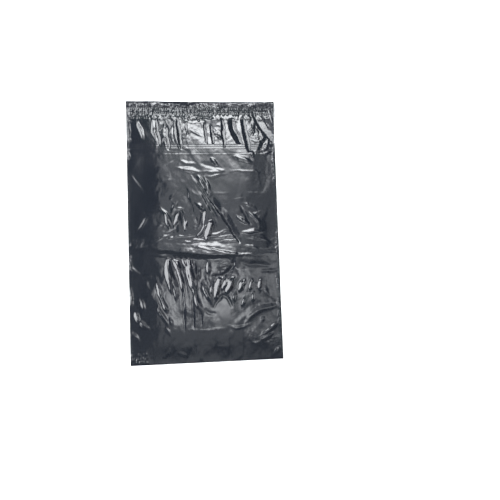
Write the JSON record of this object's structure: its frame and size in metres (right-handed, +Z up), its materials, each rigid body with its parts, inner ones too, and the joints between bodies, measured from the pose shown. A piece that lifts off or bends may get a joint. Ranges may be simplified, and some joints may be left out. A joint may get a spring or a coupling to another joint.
{
  "type": "poly mailer bag",
  "caption": "Glossy black film mailer bag lying flat and empty, with an open mouth and a long closing flap that carries an adhesive strip under a release liner.",
  "frame": {"origin": "centre of the bag's underside, on the surface that it lies on", "axes": "+X across the bag's width, +Y from the bottom fold towards the flap's free edge, +Z up out of the front panel"},
  "size_m": [0.35, 0.612, 0.0107],
  "materials": {
    "film": "glossy black polyethylene film, crinkled, lightly scuffed",
    "adhesive": "tacky hot melt strip",
    "liner": "thin siliconed film, dark as the bag beneath it"
  },
  "bodies": {
    "root": {"bag_film": "film", "adhesive_strip": "adhesive", "release_liner": "liner"}
  },
  "joints": []
}
